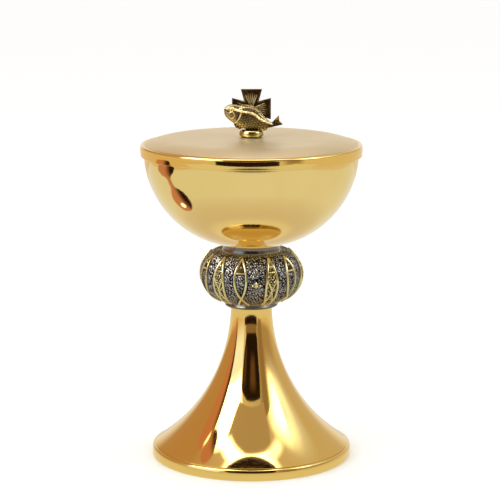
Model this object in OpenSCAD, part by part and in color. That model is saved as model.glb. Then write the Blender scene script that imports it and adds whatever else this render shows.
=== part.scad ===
// Ciborium: a lidded cup on a tall flared foot, with a round ornamented knop between them.
// Units are millimetres. +Z is up, the axis of the vessel is the Z axis, and the foot stands on z = 0.
// The front of the finial's cross faces -Y.

/* [Foot] */
// Height of the foot, from the table to its flat top
foot_h = 87.8; // [84:0.1:92]
// Outer radius of the foot's neck at its top
neck_r = 11.6; // [11.2:0.1:12.4]
// Wall thickness of the spun foot
foot_wall = 1.4; // [1:0.1:1.6]
// Outer radius of the base band
band_r = 56.7; // [54:0.1:60]
// Height of the base band
band_h = 6.3; // [5.5:0.1:7.5]

/* [Knop] */
// Height of the knop, between its flat lower and upper faces
knop_h = 28.2; // [27.8:0.1:29]
// Outer radius of the knop's silver body at its widest line
knop_r = 28.7; // [28:0.1:30]
// Radius of the knop's rounded side, in section
knop_arc = 15.2; // [15:0.1:15.6]
// Height of the widest line above the knop's lower face
knop_belly = 15; // [14.8:0.1:15.1]
// Wall thickness of the cast knop
knop_wall = 2.5; // [1.8:0.1:3]
// How far the gold fish stand proud of the knop
relief = 0.9; // [0.6:0.1:1.2]
// Width of the gold lines that draw each fish
fish_line = 0.95; // [0.7:0.05:1.2]
// Half the width of a fish's body
fish_half_w = 3.9; // [3.4:0.1:4.2]
// Angle between neighbouring fish of one group of three
fish_pitch = 27; // [24:0.5:28]
// Angle from the front of the vessel to the first small sprig
sprig_angle = 5.5; // [-10:0.5:10]

/* [Bowl] */
// Outer radius of the bowl at its rim
bowl_r = 60.1; // [59:0.1:60.2]
// Radius of the bowl's rounded side, in section
bowl_arc = 53.8; // [52:0.1:54.4]
// Height of the upright stretch below the bowl's rim
bowl_lip = 2.4; // [2:0.1:3]
// Wall thickness of the bowl
bowl_wall = 1.2; // [0.8:0.1:1.6]

/* [Lid] */
// Outer radius of the lid
lid_r = 62; // [61.9:0.1:63]
// Wall thickness of the lid
lid_wall = 1.2; // [0.8:0.1:1.2]
// How far the lid's skirt hangs below the bowl's rim
skirt_drop = 5.1; // [3:0.1:7]
// Height of the lid's crown above the bowl's rim
crown_h = 4.8; // [4.7:0.1:6]

/* [Finial] */
// Outer radius of the flattened bead under the cross
bead_r = 6.9; // [6:0.1:8]
// Height of the bead
bead_h = 4.6; // [4.2:0.1:5]
// Width and height of the cross
cross_w = 21.6; // [20:0.1:26]
// Width of a cross arm at its outer end
cross_end = 11.7; // [10:0.1:13]
// Width of a cross arm where it leaves the centre
cross_waist = 8.2; // [6:0.1:9]
// Thickness of the cross
cross_t = 2.4; // [2:0.1:3.2]

/* [Fasteners] */
// Thread radius of the tie rod that clamps bowl, knop and foot together
rod_r = 3; // [2.5:0.1:3.2]
// Thread radius of the stud that holds the finial on the lid
stud_r = 2; // [1.5:0.1:2.2]

/* [Hidden] */
$fn = 180;
fit = 0.05;          // radial clearance of a thread in its hole
slip = 0.3;          // radial clearance of a rod in a plain hole
fish_groups = 4;
fish_per_group = 3;
fish_count = fish_groups * fish_per_group;

// Foot: the side is one arc that leaves the neck upright and ends in the band's rebate.
shell_r = band_r - 1.9;
shell_z = band_h + 0.4;
flare_drop = foot_h - shell_z;
flare_run = shell_r - neck_r;
flare_r = (flare_drop * flare_drop + flare_run * flare_run) / (2 * flare_run);
flare_c = neck_r + flare_r;
band_in = shell_r - 2.4;

// Lower collar, knop and upper collar stand on the foot's top.
collar_web = 2.2;
collar_skirt = 1.3;
collar_r = 14.4;
knop_z0 = foot_h + collar_web;
knop_z1 = knop_z0 + knop_h;
knop_mid = knop_z0 + knop_belly;
knop_c = knop_r - knop_arc;
knop_land = 2.2;
knop_top_hole = 14.3;
knop_foot_hole = 12.3;
spigot_gap = 0.1;
neck_ring_r = 16.5;
neck_ring_h = 2.9;

// Bowl: a flat bottom, one arc, and an upright lip.
bowl_z0 = knop_z1 + neck_ring_h;
bowl_c = bowl_r - bowl_arc;
bowl_arc_z = bowl_z0 + bowl_arc;
rim_z = bowl_arc_z + bowl_lip;
boss_r = 7;
boss_h = 12;
boss_hole_h = 9.5;

// Lid: a nearly flat crown arc, a shoulder arc tangent to it, and a rolled edge over the skirt.
crown_z = rim_z + crown_h;
crown_arc = 5000;
crown_run = 44;
shoulder_arc = 41;
shoulder_r = crown_run * (1 - shoulder_arc / crown_arc);
shoulder_drop = crown_arc - sqrt(crown_arc * crown_arc - crown_run * crown_run);
shoulder_z = crown_z - shoulder_drop - shoulder_arc * sqrt(1 - pow(crown_run / crown_arc, 2));
roll = 0.95;
groove = 0.65;
skirt_z = rim_z - skirt_drop;
skirt_in = lid_r - lid_wall;
seat_in = bowl_r - 3;

// Finial, above the crown.
bead_z1 = crown_z + bead_h;
bead_neck_r = 3;
bead_neck_h = 0.65;
cross_z = bead_z1 + bead_neck_h + cross_w / 2;
cross_edge = 0.75;
cross_recess = 0.5;
ray_count = 5;
fish_t = 4.2;
fish_z = cross_z - 6;
fish_seat_w = bead_r + 0.3;
lid_washer_r = 5;
lid_washer_t = 0.8;
lid_nut_af = 7;
lid_nut_h = 3.2;
lid_nut_z1 = crown_z - lid_wall - 0.05 - lid_washer_t;

// Tie rod, from inside the boss down into the foot's neck.
rod_z1 = bowl_z0 - 3.1;
tie_washer_r = 9;
tie_washer_t = 1.6;
tie_nut_af = 10;
tie_nut_h = 5;
tie_nut_z1 = foot_h - foot_wall - tie_washer_t;
rod_z0 = tie_nut_z1 - tie_nut_h - 2.5;

// Fish on the knop, drawn flat and cut through the relief shell.
fish_top = knop_mid + 12;
fish_cross = knop_mid - 9.8;
fish_tail = knop_mid - 13.9;
detail_cross = knop_mid - 4.8;
detail_foot = fish_tail - 4;

function fish_name(i) = str("knop_fish_", i < 9 ? "0" : "", i + 1);
function fish_turn(i) =
    sprig_angle + 45 + 90 * floor(i / fish_per_group) + fish_pitch * (i % fish_per_group - 1);

// ---- shared shapes ----

// A rectangle in the section plane, from (r0, z0) to (r1, z1).
module slab(r0, z0, r1, z1) {
    translate([r0, z0]) square([r1 - r0, z1 - z0]);
}

// A round in the section plane.
module round_at(r, z, radius) {
    translate([r, z]) circle(r = radius);
}

// A straight bar of the given width between two points of the drawing plane.
module bar(a, b, width) {
    run = b - a;
    translate(a) rotate(atan2(run[1], run[0])) translate([0, -width / 2]) square([norm(run), width]);
}

// A washer, a hex nut and a threaded rod, each shown at its plain diameter.
module washer(outer, hole, thick, z1) {
    translate([0, 0, z1]) rotate_extrude() slab(hole, -thick, outer, 0);
}

module hex_nut(across_flats, hole, high, z1) {
    translate([0, 0, z1 - high]) difference() {
        cylinder(r = across_flats / sqrt(3), h = high, $fn = 6);
        translate([0, 0, -1]) cylinder(r = hole, h = high + 2);
    }
}

module rod(radius, z0, z1) {
    chamfer = 0.4;
    rotate_extrude() polygon([
        [0, z0], [radius - chamfer, z0], [radius, z0 + chamfer],
        [radius, z1 - chamfer], [radius - chamfer, z1], [0, z1]
    ]);
}

// ---- foot ----

module flare_round(wall) {
    translate([flare_c, foot_h]) circle(r = flare_r + wall, $fn = 720);
}

module foot_shell() {
    color("goldenrod") rotate_extrude() difference() {
        slab(0, 0, shell_r, foot_h);
        flare_round(0);
        difference() {
            slab(-1, -1, shell_r + 1, foot_h - foot_wall);
            flare_round(foot_wall);
        }
        slab(-1, 0, rod_r + slip, foot_h + 1);
    }
}

module base_band() {
    foot_edge = 0.5;
    top_edge = 1.2;
    color("gold") rotate_extrude() union() {
        difference() {
            slab(band_in, 0, shell_r, band_h);
            flare_round(foot_wall);
        }
        polygon([
            [shell_r, 0], [band_r - foot_edge, 0], [band_r, 0.8], [band_r, 1.8],
            [band_r - top_edge + 0.4, band_h - 0.35], [band_r - top_edge, band_h], [shell_r, band_h]
        ]);
    }
}

module lower_collar() {
    color("silver") rotate_extrude() difference() {
        union() {
            slab(0, foot_h, collar_r, knop_z0);
            slab(0, foot_h - 0.5, collar_r, foot_h);
            round_at(collar_r - 0.3, foot_h - collar_skirt + 0.95, 0.95);
            slab(0, knop_z0, knop_foot_hole - spigot_gap, knop_z0 + 1.4);
        }
        slab(-1, foot_h - 3, neck_r + spigot_gap, foot_h);
        slab(-1, foot_h - 1, rod_r + slip, knop_z0 + 3);
    }
}

// ---- knop ----

// Section of the knop's rounded side, moved in or out by grow.
module knop_section(grow, z0, z1) {
    intersection() {
        union() {
            round_at(knop_c, knop_mid, knop_arc + grow);
            slab(0, knop_mid - knop_arc - grow, knop_c, knop_mid + knop_arc + grow);
        }
        slab(0, z0, knop_r + 10, z1);
    }
}

module knop_body() {
    color("darkgray") rotate_extrude() difference() {
        knop_section(0, knop_z0, knop_z1);
        knop_section(-knop_wall, knop_z0 + knop_land, knop_z1 - knop_land);
        slab(-1, knop_mid, knop_top_hole, knop_z1 + 1);
        slab(-1, knop_z0 - 1, knop_foot_hole, knop_mid);
    }
}

// The thin layer over the knop that the relief is cut from.
module relief_shell(height) {
    rotate_extrude() difference() {
        knop_section(height, knop_z0 + 0.1, knop_z1 + 0.4);
        knop_section(0, knop_z0 - 1, knop_z1 + 5);
        slab(-1, knop_z0 - 1, knop_c, knop_z1 + 5);
    }
}

// Pointed oval between heights z0 and z1, drawn inside a given half width.
module leaf(z0, z1, half_w, inset) {
    half_h = (z1 - z0) / 2;
    r = (half_h * half_h + half_w * half_w) / (2 * half_w);
    intersection() {
        round_at(r - half_w, (z0 + z1) / 2, r - inset);
        round_at(half_w - r, (z0 + z1) / 2, r - inset);
    }
}

module leaf_outline(z0, z1) {
    difference() {
        leaf(z0, z1, fish_half_w, 0);
        leaf(z0, z1, fish_half_w, fish_line);
    }
}

// Fish with an open body, a gill line and a small tail.
module plain_fish() {
    gill_z = knop_mid + 4.5;
    leaf_outline(fish_cross, fish_top);
    intersection() {
        slab(-fish_half_w, gill_z, fish_half_w, gill_z + fish_line);
        leaf(fish_cross, fish_top, fish_half_w, 0);
    }
    for (side = [-1, 1]) bar([-side * 0.3, fish_cross + 0.6], [side * 2.9, fish_tail], fish_line);
}

// Fish with an eye and a gill line, drawn as a tall pointed oval with a smaller fish's tail crossing inside it.
module detailed_fish() {
    gill_z = knop_mid + 5;
    bar_w = 0.75;
    difference() {
        intersection() {
            leaf(detail_foot, fish_top, fish_half_w, 0);
            slab(-fish_half_w, fish_tail, fish_half_w, fish_top);
        }
        intersection() {
            leaf(detail_foot, fish_top, fish_half_w, fish_line);
            slab(-fish_half_w, fish_tail + bar_w, fish_half_w, fish_top);
        }
    }
    intersection() {
        leaf(detail_foot, fish_top, fish_half_w, fish_line / 2);
        union() {
            slab(-fish_half_w, gill_z, fish_half_w, gill_z + bar_w);
            for (side = [-1, 1]) {
                bar([side * 3.4, knop_mid + 2], [0, detail_cross], bar_w);
                bar([-side * 0.2, detail_cross + 0.3], [side * 2.4, fish_tail], bar_w);
            }
        }
    }
    round_at(0, knop_mid + 8, 0.85);
}

module relief_cut(angle) {
    reach = knop_r + 5;
    intersection() {
        relief_shell(relief);
        rotate([0, 0, angle]) rotate([90, 0, 0]) translate([0, 0, knop_c]) linear_extrude(reach) children();
    }
}

module knop_fish(i) {
    color("gold") relief_cut(fish_turn(i)) {
        if (i % 2 == 0) detailed_fish();
        else plain_fish();
    }
}

// A three-leaved sprig in each gap between the groups of fish.
module knop_sprigs() {
    leaf_r = 0.85;
    color("gold") for (g = [0 : fish_groups - 1]) relief_cut(sprig_angle + 90 * g) {
        for (a = [90, 210, 330]) translate([0, knop_mid - 2.5]) rotate(a) translate([0.8, 0]) circle(r = leaf_r);
    }
}

module upper_collar() {
    cove_r = 5;
    cove_depth = 0.45;
    color("silver") rotate_extrude() difference() {
        union() {
            slab(boss_r + 0.2, knop_z1, neck_ring_r, bowl_z0 + 2);
            slab(boss_r + 0.2, knop_z1 - 1.6, knop_top_hole - spigot_gap, knop_z1);
        }
        bowl_section(0, 0);
        round_at(neck_ring_r + cove_r - cove_depth, (knop_z1 + bowl_z0) / 2 + 0.6, cove_r);
    }
}

// ---- bowl ----

// Filled section of the bowl, made smaller by a wall thickness and open upwards by extra.
module bowl_section(wall, extra) {
    slab(0, bowl_z0 + wall, bowl_c, rim_z + extra);
    intersection() {
        translate([bowl_c, bowl_arc_z]) circle(r = bowl_arc - wall, $fn = 720);
        slab(bowl_c, bowl_z0, bowl_r, bowl_arc_z);
    }
    slab(bowl_c, bowl_arc_z, bowl_r - wall, rim_z + extra);
}

module bowl_shell() {
    color("gold") rotate_extrude() difference() {
        bowl_section(0, 0);
        bowl_section(bowl_wall, 1);
    }
}

module bowl_boss() {
    color("goldenrod") translate([0, 0, bowl_z0 - boss_h]) difference() {
        cylinder(r = boss_r, h = boss_h);
        translate([0, 0, -1]) cylinder(r = rod_r + fit, h = boss_hole_h + 1);
    }
}

// ---- lid ----

// Filled section of the lid's crown and shoulder out to radius end, made smaller by a wall thickness.
module crown_section(wall, end) {
    intersection() {
        translate([0, crown_z - crown_arc]) circle(r = crown_arc - wall, $fn = 2880);
        slab(0, rim_z, crown_run, crown_z + 1);
    }
    intersection() {
        translate([shoulder_r, shoulder_z]) circle(r = shoulder_arc - wall, $fn = 720);
        slab(crown_run, rim_z, end, crown_z + 1);
    }
}

module lid_shell() {
    color("khaki") rotate_extrude() difference() {
        union() {
            crown_section(0, lid_r - 2 * roll + groove / 2);
            slab(seat_in, skirt_z, lid_r, rim_z + 0.2);
            round_at(lid_r - roll, rim_z + 0.2, roll);
        }
        crown_section(lid_wall, seat_in);
        slab(-1, skirt_z - 1, skirt_in, rim_z);
        slab(-1, rim_z, stud_r + 0.2, crown_z + 1);
    }
}

// ---- finial ----

module finial_bead() {
    half = bead_h / 2;
    color("gold") rotate_extrude() difference() {
        union() {
            slab(0, crown_z, bead_r - half, bead_z1);
            intersection() {
                round_at(bead_r - half, crown_z + half, half);
                slab(0, crown_z, bead_r, bead_z1);
            }
            slab(0, bead_z1, bead_neck_r, bead_z1 + bead_neck_h);
        }
        slab(-1, crown_z - 1, stud_r + fit, bead_z1 - 1);
    }
}

// Outline of the flared cross, moved inwards by inset.
module cross_outline(inset) {
    tip = cross_w / 2 - inset;
    end = cross_end / 2 - inset;
    waist = cross_waist / 2 - inset;
    for (a = [0 : 90 : 270]) rotate(a) polygon([[0, 0], [waist, waist], [end, tip], [-end, tip], [-waist, waist]]);
}

// Ridges that spread from the centre along each arm.
module cross_rays() {
    ray_reach = cross_w / 2 - cross_edge;
    for (a = [0 : 90 : 270], k = [0 : ray_count - 1]) {
        spread = (k - (ray_count - 1) / 2) / ray_count;
        rotate(a) bar([0, 1], [spread * cross_end * 0.8, ray_reach], 0.55);
    }
}

module finial_cross() {
    panel_t = cross_t - 2 * cross_recess;
    color("darkgoldenrod") translate([0, 0, cross_z]) rotate([90, 0, 0]) union() {
        translate([0, 0, -cross_t / 2]) linear_extrude(cross_t) difference() {
            cross_outline(0);
            cross_outline(cross_edge);
        }
        translate([0, 0, -panel_t / 2]) linear_extrude(panel_t) cross_outline(cross_edge / 2);
        translate([0, 0, -cross_t / 2 + 0.1]) linear_extrude(cross_t - 0.2) cross_rays();
    }
}

// A plump fish that lies slantwise across the lower half of the cross, head raised at the left.
module fish_body() {
    body_r = 20;
    body_half_w = 6.5;
    translate([-1.8, 0.9]) rotate(-14) intersection() {
        translate([0, body_half_w - body_r]) circle(r = body_r);
        translate([0, body_r - body_half_w]) circle(r = body_r);
    }
}

module fish_fins() {
    fin_t = 2.6;
    linear_extrude(fin_t) polygon([[-7, 4], [-5.5, 7.8], [2, 6.6], [7.4, 1], [4, 0]]);
    linear_extrude(fin_t) polygon([[-9.8, 0], [-9.4, -2.2], [-6.6, -4.9], [-3, -4], [-4, 0]]);
    linear_extrude(fin_t) polygon([
        [7, 0], [11.3, -1.6], [14.6, 2.4], [15, -1.6], [17, -2.2], [11.4, -3.6], [7.6, -4.6], [4, -4]
    ]);
}

module finial_fish() {
    head_r = 4.6;
    head_t = 3.7;
    seat = bead_z1 + 0.1 - fish_z;
    neck_w = bead_neck_r + 0.1;
    color("gold") translate([0, -cross_t / 2, fish_z]) rotate([90, 0, 0]) difference() {
        union() {
            linear_extrude(fish_t) fish_body();
            translate([-9.9, 3.9, 0]) cylinder(r = head_r, h = head_t);
            fish_fins();
        }
        translate([-fish_seat_w, -20, -1]) cube([2 * fish_seat_w, 20 + seat, fish_t + 2]);
        translate([-neck_w, -20, -1]) cube([2 * neck_w, 20 + seat + bead_neck_h, bead_neck_r + 1]);
    }
}

module finial_stud() {
    color("goldenrod") rod(stud_r, lid_nut_z1 - lid_nut_h - 0.9, bead_z1 - 1.2);
}

module finial_washer() {
    color("goldenrod") washer(lid_washer_r, stud_r + 0.15, lid_washer_t, lid_nut_z1 + lid_washer_t);
}

module finial_nut() {
    color("goldenrod") hex_nut(lid_nut_af, stud_r + fit, lid_nut_h, lid_nut_z1);
}

// ---- tie rod ----

module tie_rod() {
    color("lightgray") rod(rod_r, rod_z0, rod_z1);
}

module tie_washer() {
    color("lightgray") washer(tie_washer_r, rod_r + slip, tie_washer_t, tie_nut_z1 + tie_washer_t);
}

module tie_nut() {
    color("lightgray") hex_nut(tie_nut_af, rod_r + fit, tie_nut_h, tie_nut_z1);
}

// ---- which pieces are drawn ----

lid_shell();
finial_bead();
finial_cross();
finial_fish();
finial_stud();
finial_washer();
finial_nut();
bowl_shell();
bowl_boss();
upper_collar();
knop_body();
for (i = [0 : fish_count - 1]) knop_fish(i);
knop_sprigs();
lower_collar();
foot_shell();
base_band();
tie_rod();
tie_washer();
tie_nut();
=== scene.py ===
"""A lidded ciborium on a pale floor: turned gold shells, a grained silver knop with gold fish, and a cast finial."""
import math

import bpy
import numpy as np
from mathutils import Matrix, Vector, kdtree


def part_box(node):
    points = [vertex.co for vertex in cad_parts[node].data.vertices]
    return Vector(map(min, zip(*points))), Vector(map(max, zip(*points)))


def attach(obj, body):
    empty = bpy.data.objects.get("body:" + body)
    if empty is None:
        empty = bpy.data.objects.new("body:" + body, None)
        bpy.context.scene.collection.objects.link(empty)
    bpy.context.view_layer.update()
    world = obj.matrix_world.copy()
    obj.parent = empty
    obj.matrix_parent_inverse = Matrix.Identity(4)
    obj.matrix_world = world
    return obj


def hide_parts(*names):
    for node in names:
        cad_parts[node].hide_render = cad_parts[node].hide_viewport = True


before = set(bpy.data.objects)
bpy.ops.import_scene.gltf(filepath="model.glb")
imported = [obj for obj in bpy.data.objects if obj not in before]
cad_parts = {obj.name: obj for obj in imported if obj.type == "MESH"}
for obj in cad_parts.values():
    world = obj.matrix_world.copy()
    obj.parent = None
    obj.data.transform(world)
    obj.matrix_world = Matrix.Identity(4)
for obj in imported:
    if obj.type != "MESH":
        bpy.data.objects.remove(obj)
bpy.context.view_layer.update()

# Shapes are worked out in millimetres, like the CAD model, and meshes are made in metres.
MM = 0.001
SEED = 7


def low(node):
    """Lowest corner of a CAD node, in millimetres."""
    return np.array(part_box(node)[0]) / MM


def high(node):
    """Highest corner of a CAD node, in millimetres."""
    return np.array(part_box(node)[1]) / MM


# ---- sizes, from the CAD nodes and a few wall and arc radii ----

FOOT_TOP = high("foot_shell")[2]
SHELL_R = high("foot_shell")[0]
NECK_R = 11.6
FOOT_WALL = 1.4
BAND_R = high("base_band")[0]
BAND_H = high("base_band")[2]
ROD_HOLE = 3.3

KNOP_Z0 = low("knop_body")[2]
KNOP_Z1 = high("knop_body")[2]
KNOP_R = high("knop_body")[0]
KNOP_ARC = 15.2
KNOP_MID = KNOP_Z0 + 15
KNOP_C = KNOP_R - KNOP_ARC
KNOP_WALL = 2.5
KNOP_TOP_HOLE = 14.3
KNOP_FOOT_HOLE = 12.3
RELIEF = 0.9
FISH_LINE = 1.1
FISH_HALF_W = 3.9

COLLAR_R = 16.5
LOWER_COLLAR_R = 14.4
BOWL_Z0 = low("bowl_shell")[2]
RIM_Z = high("bowl_shell")[2]
BOWL_R = high("bowl_shell")[0]
BOWL_ARC = 53.8
BOWL_C = BOWL_R - BOWL_ARC
BOWL_WALL = 1.2

LID_R = high("lid_shell")[0]
LID_WALL = 1.2
SKIRT_Z = low("lid_shell")[2]
CROWN_Z = low("finial_bead")[2]
CROWN_ARC = 5000.0
CROWN_RUN = 44.0
SHOULDER_ARC = 41.0
ROLL = 0.95
SHOULDER_END = LID_R - 2 * ROLL + 0.33

BEAD_R = high("finial_bead")[0]
BEAD_H = 4.6
CROSS_Z = (low("finial_cross")[2] + high("finial_cross")[2]) / 2
CROSS_W = high("finial_cross")[0] * 2
CROSS_T = high("finial_cross")[1] * 2
CROSS_END = 11.7
CROSS_WAIST = 8.2


# ---- building meshes ----

def arc(cx, cz, radius, start, end, count):
    """Points along a circle's arc, angles in degrees."""
    a = np.radians(np.linspace(start, end, count))
    return np.column_stack([cx + radius * np.cos(a), cz + radius * np.sin(a)])


def rounded(corners, steps=5):
    """A closed outline whose corners (r, z, radius) are eased by that radius."""
    out = []
    count = len(corners)
    for i, (r, z, ease) in enumerate(corners):
        here = np.array([r, z], float)
        if ease <= 0:
            out.append(here)
            continue
        before = np.array(corners[i - 1][:2], float) - here
        after = np.array(corners[(i + 1) % count][:2], float) - here
        a = here + before / np.linalg.norm(before) * ease
        b = here + after / np.linalg.norm(after) * ease
        for t in np.linspace(0, 1, steps):
            out.append((1 - t) ** 2 * a + 2 * t * (1 - t) * here + t * t * b)
    return np.array(out)


def plain(points):
    """Outline points as corners that are not eased."""
    return [(r, z, 0) for r, z in points]


def grid_quads(rows, cols, wrap_rows=False, wrap_cols=False, start=0):
    """Quads of a grid of vertices numbered row by row."""
    quads = []
    for i in range(rows if wrap_rows else rows - 1):
        a = start + i * cols
        b = start + (i + 1) % rows * cols
        for j in range(cols if wrap_cols else cols - 1):
            k = (j + 1) % cols
            quads.append((a + j, a + k, b + k, b + j))
    return quads


class Shape:
    """Collects vertices, faces and a darkness value for each vertex, oxide and painted shade, then makes one object."""

    def __init__(self, name):
        self.name = name
        self.points = []
        self.faces = []
        self.patina_and_shade = []
        self.count = 0

    def add(self, points, faces, patina_and_shade=0.0):
        points = np.asarray(points, float).reshape(-1, 3)
        self.points.append(points)
        self.faces.extend([tuple(i + self.count for i in f) for f in faces])
        self.patina_and_shade.append(np.broadcast_to(np.asarray(patina_and_shade, float), (len(points),)))
        self.count += len(points)

    def slab(self, front, back, patina_and_shade=0.0, back_patina=1.0):
        """A closed sheet between two grids of the same shape."""
        rows, cols = front.shape[:2]
        size = rows * cols
        faces = grid_quads(rows, cols)
        faces += [tuple(reversed(f)) for f in grid_quads(rows, cols, start=size)]
        rim = [j for j in range(cols)]
        rim += [i * cols + cols - 1 for i in range(1, rows)]
        rim += [(rows - 1) * cols + j for j in range(cols - 2, -1, -1)]
        rim += [i * cols for i in range(rows - 2, 0, -1)]
        for a, b in zip(rim, rim[1:] + rim[:1]):
            faces.append((b, a, a + size, b + size))
        values = np.concatenate([np.broadcast_to(patina_and_shade, (rows, cols)).ravel(), np.full(size, back_patina)])
        self.add(np.concatenate([front.reshape(-1, 3), back.reshape(-1, 3)]), faces, values)

    def ribbon(self, path, normals, width, height, close=False):
        """A raised line with a rounded back that follows a path on a surface."""
        section = [(-0.5, -0.25), (-0.5, 0.45), (-0.36, 0.85), (-0.13, 1), (0.13, 1), (0.36, 0.85), (0.5, 0.45), (0.5, -0.25)]
        ahead = np.roll(path, -1, 0) - np.roll(path, 1, 0)
        if not close:
            ahead[0] = path[1] - path[0]
            ahead[-1] = path[-1] - path[-2]
        ahead /= np.linalg.norm(ahead, axis=1)[:, None]
        side = np.cross(ahead, normals)
        side /= np.linalg.norm(side, axis=1)[:, None]
        rings = [path + side * width * across + normals * height * up for across, up in section]
        points = np.stack(rings, axis=1)
        cols = len(section)
        faces = grid_quads(len(path), cols, wrap_rows=close, wrap_cols=True)
        if not close:
            faces.append(tuple(range(cols)))
            faces.append(tuple((len(path) - 1) * cols + j for j in reversed(range(cols))))
        shade = np.tile([1, 0.55, 0.1, 0, 0, 0.1, 0.55, 1], len(path))
        self.add(points, faces, shade)

    def make(self, sharp=35):
        mesh = bpy.data.meshes.new(self.name)
        points = np.concatenate(self.points) * MM
        mesh.from_pydata(points.tolist(), [], self.faces)
        value = mesh.attributes.new("patina_and_shade", "FLOAT", "POINT")
        value.data.foreach_set("value", np.concatenate(self.patina_and_shade).astype(np.float32))
        mesh.validate()
        mesh.polygons.foreach_set("use_smooth", [True] * len(mesh.polygons))
        outward(mesh)
        if sharp:
            mesh.set_sharp_from_angle(angle=math.radians(sharp))
        piece = bpy.data.objects.new(self.name, mesh)
        bpy.context.collection.objects.link(piece)
        return piece


def outward(mesh):
    """Turns every face outwards."""
    import bmesh
    work = bmesh.new()
    work.from_mesh(mesh)
    bmesh.ops.recalc_face_normals(work, faces=work.faces)
    work.to_mesh(mesh)
    work.free()
    mesh.update()


def spin(name, outline, steps=256, sharp=35):
    """A turned piece: a closed outline of (r, z) points taken round the Z axis."""
    turn = np.linspace(0, 2 * math.pi, steps, endpoint=False)
    r, z = outline[:, 0:1], outline[:, 1:2]
    points = np.stack([r * np.sin(turn), -r * np.cos(turn), np.broadcast_to(z, (len(outline), steps))], axis=2)
    shape = Shape(name)
    shape.add(points, grid_quads(len(outline), steps, wrap_rows=True, wrap_cols=True))
    return shape.make(sharp)


def smoothstep(lo, hi, value):
    t = np.clip((value - lo) / (hi - lo), 0, 1)
    return t * t * (3 - 2 * t)


def grain(points, wavelength, waves, seed):
    """Worm-like relief: many waves of one length and random direction, added up. About -1 to 1."""
    rng = np.random.default_rng(seed)
    way = rng.normal(size=(waves, 3))
    way *= 2 * math.pi / wavelength / np.linalg.norm(way, axis=1)[:, None]
    phase = rng.uniform(0, 2 * math.pi, waves)
    total = np.zeros(len(points))
    for k, p in zip(way, phase):
        total += np.cos(points @ k + p)
    return total / math.sqrt(waves / 2)


# ---- materials ----

def new_material(name):
    material = bpy.data.materials.new(name)
    material.use_nodes = True
    return material, material.node_tree, material.node_tree.nodes["Principled BSDF"]


def add_node(tree, kind, **values):
    """A node with its settings and the unlinked values of its sockets."""
    node = tree.nodes.new(kind)
    for key, value in values.items():
        if hasattr(node, key):
            setattr(node, key, value)
        else:
            node.inputs[key.replace("_", " ")].default_value = value
    return node


def mix_colours(tree, factor, a, b):
    """A colour between a and b, each a tuple or a socket."""
    node = add_node(tree, "ShaderNodeMix", data_type="RGBA")
    tree.links.new(factor, node.inputs["Factor"])
    for key, value in (("A", a), ("B", b)):
        socket = [s for s in node.inputs if s.name == key and s.type == "RGBA"][0]
        if isinstance(value, tuple):
            socket.default_value = (*value, 1)
        else:
            tree.links.new(value, socket)
    return [s for s in node.outputs if s.type == "RGBA"][0]


def remap(tree, value, lo, hi):
    """The value, from 0 to 1, taken to the range lo to hi."""
    node = add_node(tree, "ShaderNodeMapRange")
    node.inputs["To Min"].default_value = lo
    node.inputs["To Max"].default_value = hi
    tree.links.new(value, node.inputs["Value"])
    return node.outputs["Result"]


def noise(tree, scale, detail=3.0, vector=None, rough=0.5):
    node = add_node(tree, "ShaderNodeTexNoise", Scale=scale, Detail=detail, Roughness=rough)
    if vector is None:
        vector = add_node(tree, "ShaderNodeTexCoord").outputs["Object"]
    tree.links.new(vector, node.inputs["Vector"])
    return node.outputs["Fac"]


def turned_grain(tree, scale):
    """Fine rings round the Z axis, as a lathe tool or a polishing mop leaves them."""
    place = add_node(tree, "ShaderNodeTexCoord").outputs["Object"]
    split = add_node(tree, "ShaderNodeSeparateXYZ")
    tree.links.new(place, split.inputs["Vector"])
    flat = add_node(tree, "ShaderNodeCombineXYZ")
    tree.links.new(split.outputs["X"], flat.inputs["X"])
    tree.links.new(split.outputs["Y"], flat.inputs["Y"])
    radius = add_node(tree, "ShaderNodeVectorMath", operation="LENGTH")
    tree.links.new(flat.outputs["Vector"], radius.inputs[0])
    ring = add_node(tree, "ShaderNodeCombineXYZ")
    tree.links.new(radius.outputs["Value"], ring.inputs["X"])
    tree.links.new(split.outputs["Z"], ring.inputs["Y"])
    return noise(tree, scale, 4.0, ring.outputs["Vector"])


def bump(tree, shader, height, distance, strength=1.0):
    node = add_node(tree, "ShaderNodeBump", Strength=strength, Distance=distance)
    tree.links.new(height, node.inputs["Height"])
    tree.links.new(node.outputs["Normal"], shader.inputs["Normal"])


def turned_metal(name, colour, tint, rough, smudge, grain_depth):
    """Plated spun metal: cloudy smudges in colour and gloss, and fine turned rings."""
    material, tree, shader = new_material(name)
    shader.inputs["Metallic"].default_value = 1
    cloud = noise(tree, 28.0, 4.0)
    tree.links.new(mix_colours(tree, cloud, colour, tint), shader.inputs["Base Color"])
    wipe = noise(tree, 90.0, 5.0)
    tree.links.new(remap(tree, wipe, rough, rough + smudge), shader.inputs["Roughness"])
    bump(tree, shader, turned_grain(tree, 900.0), grain_depth)
    return material


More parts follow.
